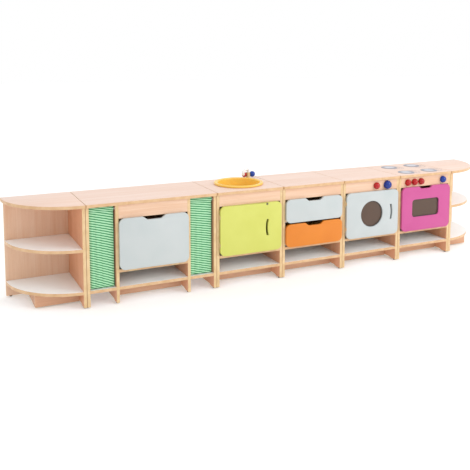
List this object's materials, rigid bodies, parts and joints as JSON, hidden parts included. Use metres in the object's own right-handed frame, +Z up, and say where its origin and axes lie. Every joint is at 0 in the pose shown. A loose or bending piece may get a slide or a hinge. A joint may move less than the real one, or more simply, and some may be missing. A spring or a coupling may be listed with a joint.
{
  "type": "toy kitchen",
  "caption": "Low play kitchen row with open end shelves, curtained cupboard, sink, drawers, washing machine and cooker.",
  "frame": {"origin": "bottom centre of the bounding box, on the floor", "axes": "+X along the row to the right seen from the front, -Y the front, +Z up"},
  "size_m": [3.458, 0.4458, 0.6753],
  "materials": {
    "beech": "satin",
    "worktop_beech": "satin",
    "shelf_board": "satin",
    "grey_board": "satin",
    "lime_board": "satin",
    "orange_board": "satin",
    "pink_board": "satin",
    "birch_ply": "satin",
    "window_acrylic": "gloss",
    "steel": "satin",
    "glide_plastic": "matte",
    "yellow_plastic": "gloss",
    "red_paint": "gloss",
    "blue_paint": "gloss",
    "white_plastic": "gloss",
    "hob_grey": "satin",
    "curtain_cloth": "matte",
    "lock_metal": "satin"
  },
  "bodies": {
    "carcass": {"left_end_back": "beech", "left_end_shelves": "shelf_board", "left_end_plinth": "beech", "left_end_top": "worktop_beech", "right_end_back": "beech", "right_end_shelves": "shelf_board", "right_end_plinth": "beech", "right_end_top": "worktop_beech", "end_sides": "beech", "curtain_unit_panels": "beech", "unit_sides": "beech", "bottom_shelves": "shelf_board", "cupboard_floors": "shelf_board", "plinths": "beech", "back_boards": "beech", "plain_fascias": "beech", "washer_fascia": "beech", "cooker_fascia": "beech", "curtain_unit_top": "worktop_beech", "sink_top": "worktop_beech", "drawer_top": "worktop_beech", "washer_top": "worktop_beech", "cooker_top": "worktop_beech", "glides": "glide_plastic", "connecting_screws": "steel", "curtain_rods": "steel", "carcass_hinges": "steel", "drawer_runners": "steel", "basin": "yellow_plastic", "tap_post": "birch_ply", "hob_discs": "hob_grey"},
    "left_curtain_panel": {"left_curtain": "curtain_cloth", "left_curtain_ring": "steel"},
    "right_curtain_panel": {"right_curtain": "curtain_cloth", "right_curtain_ring": "steel"},
    "flap_panel": {"flap": "grey_board", "flap_hinge": "steel"},
    "sink_door_leaf": {"sink_door": "lime_board", "sink_door_hinge": "steel", "door_lock": "lock_metal"},
    "washer_door_leaf": {"washer_door": "grey_board", "washer_door_hinge": "steel", "washer_window": "window_acrylic"},
    "oven_door_leaf": {"oven_door": "pink_board", "oven_door_hinge": "steel", "oven_window": "window_acrylic"},
    "upper_drawer": {"upper_drawer_front": "grey_board", "upper_drawer_box": "birch_ply"},
    "lower_drawer": {"lower_drawer_front": "orange_board", "lower_drawer_box": "birch_ply"},
    "spout": {"tap_spout": "white_plastic"},
    "tap_red": {"red_tap_knob": "red_paint"},
    "tap_blue": {"blue_tap_knob": "blue_paint"},
    "washer_red": {"washer_red_knob": "red_paint"},
    "washer_blue": {"washer_blue_knob": "blue_paint"},
    "cooker_red_1": {"cooker_knob_1": "red_paint"},
    "cooker_red_2": {"cooker_knob_2": "red_paint"},
    "cooker_red_3": {"cooker_knob_3": "red_paint"},
    "cooker_blue": {"cooker_blue_knob": "blue_paint"}
  },
  "joints": [
    {"name": "left_curtain_draw", "type": "slide", "parent": "carcass", "child": "left_curtain_panel", "axis": [-1, 0, 0], "range_m": [0, 0.09], "deforming": ["left_curtain"]},
    {"name": "right_curtain_draw", "type": "slide", "parent": "carcass", "child": "right_curtain_panel", "axis": [-1, 0, 0], "range_m": [0, 0.09], "deforming": ["right_curtain"]},
    {"name": "flap_hinge_turn", "type": "hinge", "parent": "carcass", "child": "flap_panel", "pos_m": [-0.92, -0.1921, 0.197], "axis": [1, 0, 0], "range_deg": [0, 90]},
    {"name": "sink_door_turn", "type": "hinge", "parent": "carcass", "child": "sink_door_leaf", "pos_m": [-0.506, -0.1921, 0.3565], "axis": [0, 0, -1], "range_deg": [0, 105]},
    {"name": "washer_door_turn", "type": "hinge", "parent": "carcass", "child": "washer_door_leaf", "pos_m": [0.414, -0.1921, 0.3565], "axis": [0, 0, -1], "range_deg": [0, 90]},
    {"name": "oven_door_turn", "type": "hinge", "parent": "carcass", "child": "oven_door_leaf", "pos_m": [1.09, -0.1921, 0.197], "axis": [1, 0, 0], "range_deg": [0, 90]},
    {"name": "upper_drawer_slide", "type": "slide", "parent": "carcass", "child": "upper_drawer", "axis": [0, -1, 0], "range_m": [0, 0.26]},
    {"name": "lower_drawer_slide", "type": "slide", "parent": "carcass", "child": "lower_drawer", "axis": [0, -1, 0], "range_m": [0, 0.26]},
    {"name": "spout_swivel", "type": "hinge", "parent": "carcass", "child": "spout", "pos_m": [-0.135, 0.1629, 0.642], "axis": [0, 0, 1], "range_deg": [-60, 60]},
    {"name": "tap_red_turn", "type": "hinge", "parent": "carcass", "child": "tap_red", "pos_m": [-0.1636, 0.1629, 0.628], "axis": [1, 0, 0], "continuous": true},
    {"name": "tap_blue_turn", "type": "hinge", "parent": "carcass", "child": "tap_blue", "pos_m": [-0.104, 0.1629, 0.628], "axis": [1, 0, 0], "continuous": true},
    {"name": "washer_red_turn", "type": "hinge", "parent": "carcass", "child": "washer_red", "pos_m": [0.666, -0.1871, 0.546], "axis": [0, 1, 0], "continuous": true},
    {"name": "washer_blue_turn", "type": "hinge", "parent": "carcass", "child": "washer_blue", "pos_m": [0.756, -0.1871, 0.546], "axis": [0, 1, 0], "continuous": true},
    {"name": "cooker_red_1_turn", "type": "hinge", "parent": "carcass", "child": "cooker_red_1", "pos_m": [0.934, -0.1871, 0.546], "axis": [0, 1, 0], "continuous": true},
    {"name": "cooker_red_2_turn", "type": "hinge", "parent": "carcass", "child": "cooker_red_2", "pos_m": [0.992, -0.1871, 0.546], "axis": [0, 1, 0], "continuous": true},
    {"name": "cooker_red_3_turn", "type": "hinge", "parent": "carcass", "child": "cooker_red_3", "pos_m": [1.05, -0.1871, 0.546], "axis": [0, 1, 0], "continuous": true},
    {"name": "cooker_blue_turn", "type": "hinge", "parent": "carcass", "child": "cooker_blue", "pos_m": [1.246, -0.1871, 0.546], "axis": [0, 1, 0], "continuous": true}
  ]
}
